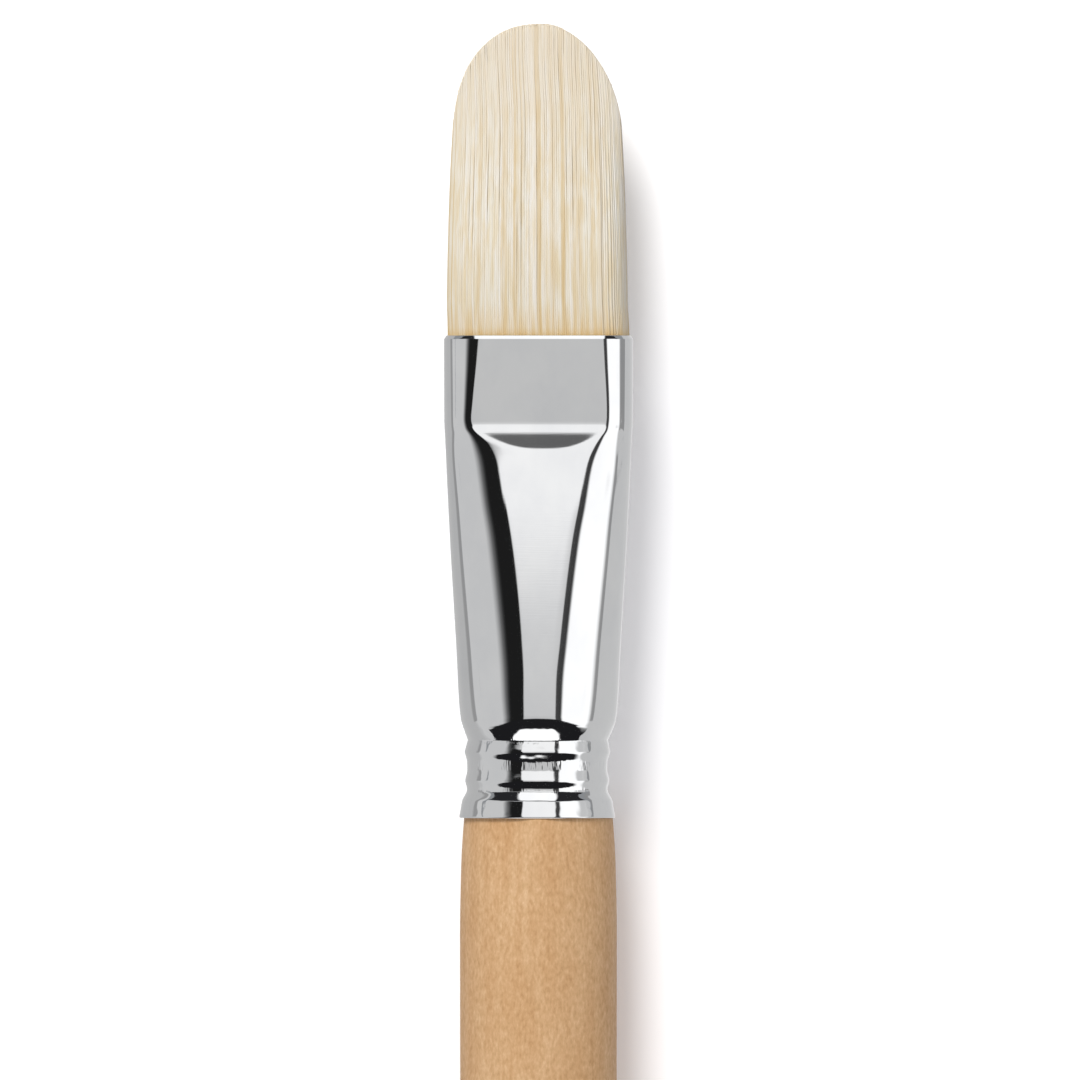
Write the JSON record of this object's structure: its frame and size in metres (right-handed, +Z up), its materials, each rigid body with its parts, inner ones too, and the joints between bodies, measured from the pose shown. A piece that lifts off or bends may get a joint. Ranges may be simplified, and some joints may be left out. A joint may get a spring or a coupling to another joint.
{
  "type": "paint brush",
  "caption": "Filbert artist's brush: springy hog-bristle tuft in a flattened, crimped metal ferrule on a long turned wooden handle.",
  "frame": {"origin": "under the middle of the brush, at the height of the table it lies on", "axes": "+Y runs from the handle's tail to the bristle tip, +Z is up and square to the ferrule's flat land, +X is across the width of the bristles"},
  "size_m": [0.0146, 0.33, 0.0122],
  "materials": {
    "plated_ferrule": "bright nickel plate on drawn brass, polished",
    "bare_wood": "sanded, no varnish, fine flecks along the grain",
    "glue": "cured amber glue",
    "bristle_root": "packed hog bristle stiffened with glue",
    "thread": "waxed cotton thread",
    "bristle": "bleached hog bristle, ivory with straw streaks"
  },
  "bodies": {
    "brush": {"ferrule": "plated_ferrule", "handle": "bare_wood", "handle_glue": "glue", "bristle_roots": "bristle_root", "root_binding": "thread", "root_glue": "glue"},
    "tuft": {"front_bristles": "bristle", "back_bristles": "bristle"}
  },
  "joints": [
    {"name": "tuft_flex", "type": "hinge", "parent": "brush", "child": "tuft", "pos_m": [0, 0.1434, 0.0061], "axis": [1, 0, 0], "range_deg": [-18, 35], "stiffness_Nm_per_rad": 0.027}
  ]
}
